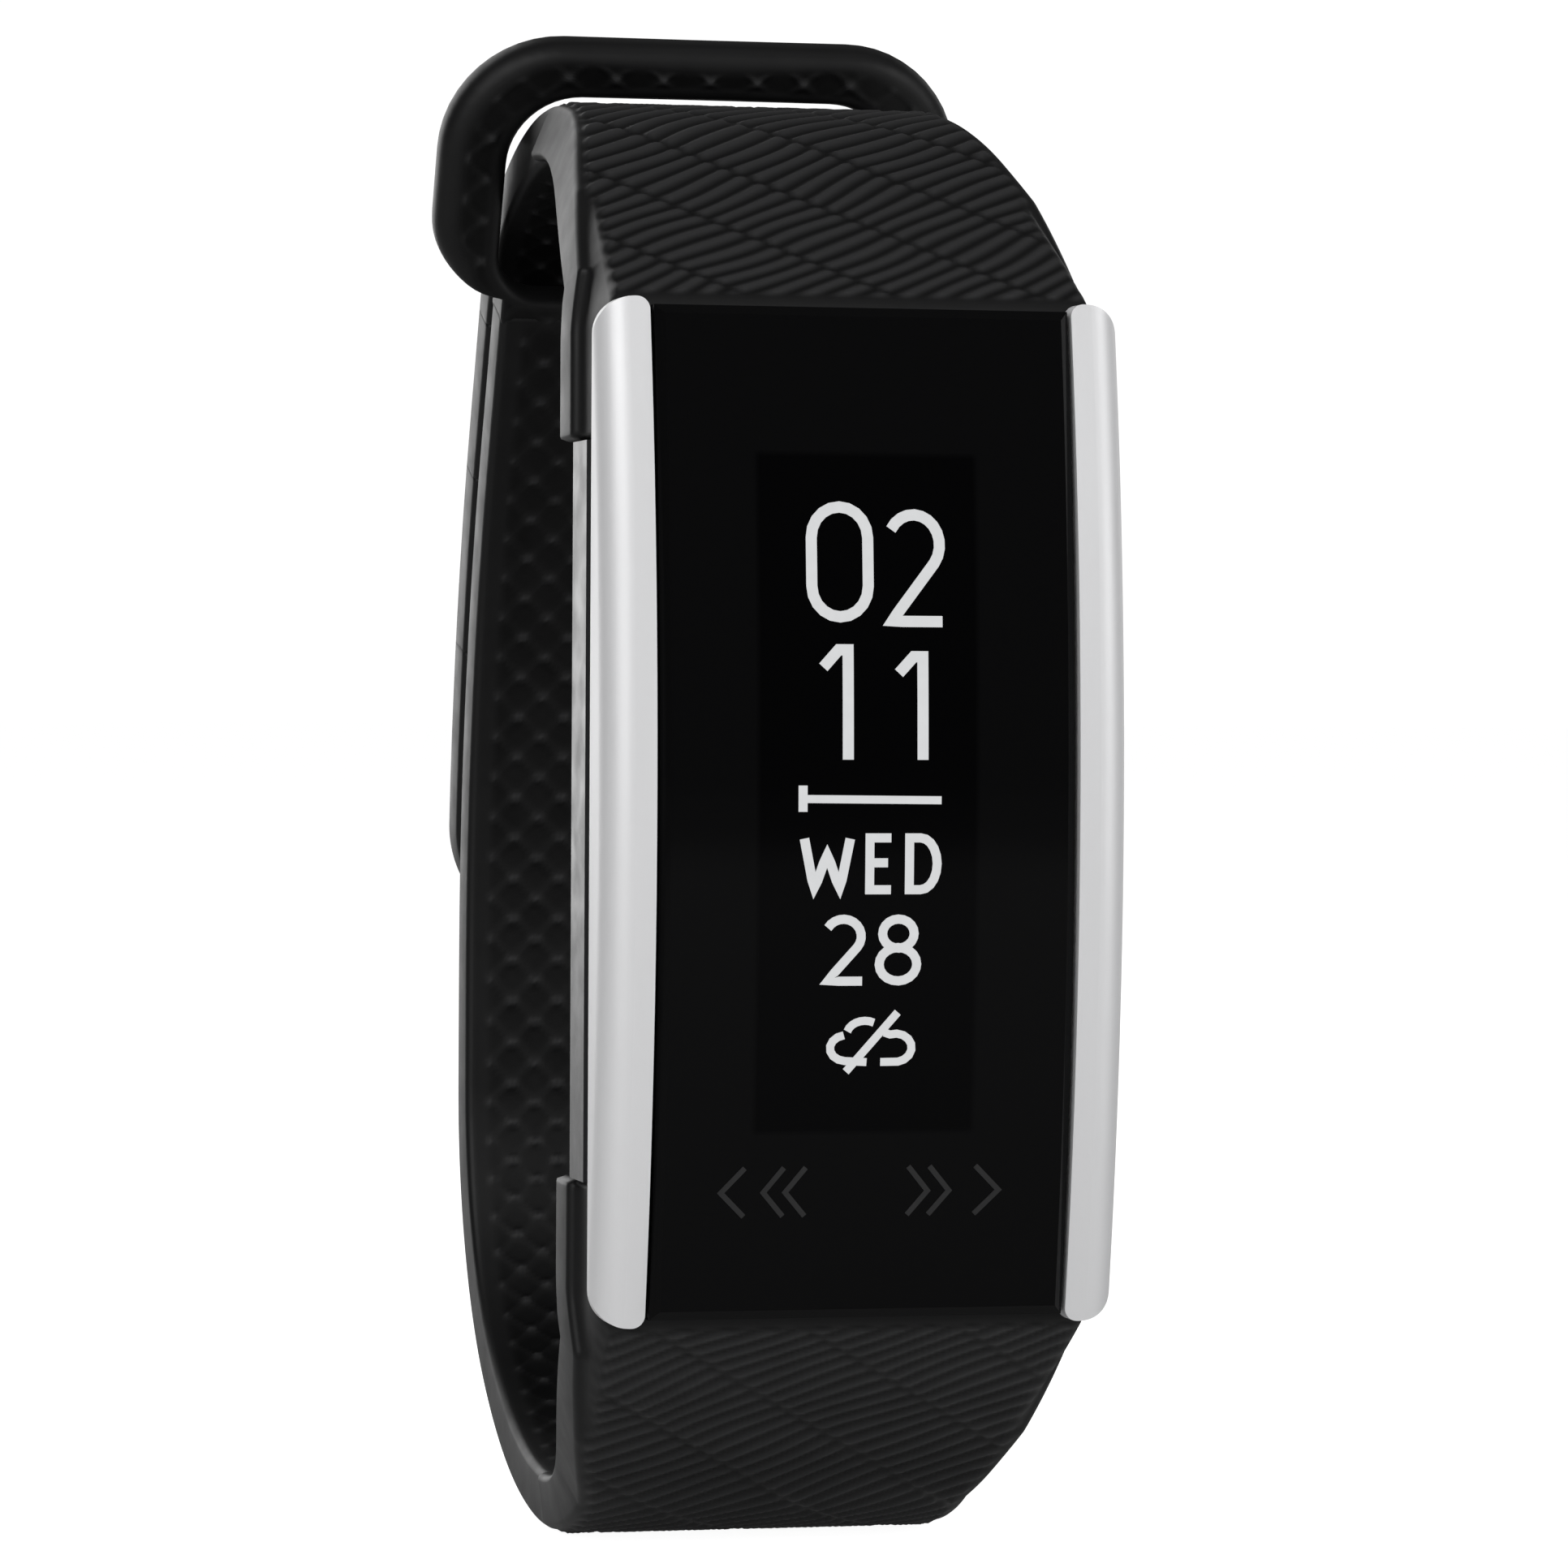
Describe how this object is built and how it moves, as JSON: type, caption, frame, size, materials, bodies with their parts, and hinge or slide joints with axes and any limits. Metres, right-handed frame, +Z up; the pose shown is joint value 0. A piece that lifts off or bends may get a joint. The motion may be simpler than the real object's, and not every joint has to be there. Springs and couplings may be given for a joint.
{
  "type": "fitness tracker band",
  "caption": "Closed fitness tracker band: curved black display with silver side trims on a textured strap threaded through its slotted end and held by a stud.",
  "frame": {"origin": "middle of the wrist opening, level with the middle of the display", "axes": "+X across the band to the wearer's right of the display, +Y from the display to the fastening behind the wrist, +Z up along the display"},
  "size_m": [0.022, 0.0458, 0.0615],
  "materials": {
    "cover_glass": "polished, black-printed on the back",
    "satin_silver": "satin",
    "black_case": "fine moulded matte",
    "seal": "matte",
    "steel": "turned",
    "sensor_glass": "polished, dark tinted",
    "gold_contact": "gold plated",
    "display_light": "lit segments, white",
    "black_tape": "matte",
    "copper": "bare",
    "circuit_board": "solder mask",
    "chip_black": "moulded",
    "battery_foil": "foil pouch",
    "green_led": "clear",
    "black_strap": "satin, moulded weave outside and dot lattice inside",
    "dark_stud": "black plated",
    "printed_marks": "dim grey print under the glass"
  },
  "bodies": {
    "tracker": {"lens": "cover_glass", "trim_left": "satin_silver", "trim_right": "satin_silver", "housing": "black_case", "gasket": "seal", "back_cover": "black_case", "case_screws": "steel", "sensor_window": "sensor_glass", "charge_contacts": "gold_contact", "oled_panel": "display_light", "lens_tape": "black_tape", "touch_electrode": "copper", "display_connector": "black_tape", "main_board": "circuit_board", "board_chips": "chip_black", "battery": "battery_foil", "sensor_board": "circuit_board", "sensor_leds": "green_led", "photodiode": "chip_black", "motor_holder": "seal", "motor_can": "steel", "upper_pin": "steel", "lower_pin": "steel", "upper_strap": "black_strap", "lower_strap": "black_strap"},
    "tail_root": {"tail_root": "black_strap"},
    "tail_middle": {"tail_middle": "black_strap"},
    "tail_tip": {"tail_tip": "black_strap", "stud_pin": "dark_stud", "stud_cap": "dark_stud"},
    "motor_rotor": {"motor_rotor": "steel"}
  },
  "joints": [
    {"name": "tail_lift", "type": "hinge", "parent": "tracker", "child": "tail_root", "pos_m": [0, 0.01829, 0.01822], "axis": [1, 0, 0], "range_deg": [0, 30], "stiffness_Nm_per_rad": 0.003},
    {"name": "tail_curl_middle", "type": "hinge", "parent": "tail_root", "child": "tail_middle", "pos_m": [0, 0.02135, 0.01048], "axis": [1, 0, 0], "range_deg": [0, 20]},
    {"name": "tail_curl_tip", "type": "hinge", "parent": "tail_middle", "child": "tail_tip", "pos_m": [0, 0.02326, 0.00278], "axis": [1, 0, 0], "range_deg": [0, 16]},
    {"name": "motor_spin", "type": "hinge", "parent": "tracker", "child": "motor_rotor", "pos_m": [0, -0.0134, 0.0092], "axis": [1, 0, 0], "continuous": true}
  ],
  "couplings": [
    {"joint": "tail_curl_middle", "follows": "tail_lift", "ratio": 0.6},
    {"joint": "tail_curl_tip", "follows": "tail_lift", "ratio": 0.45}
  ]
}
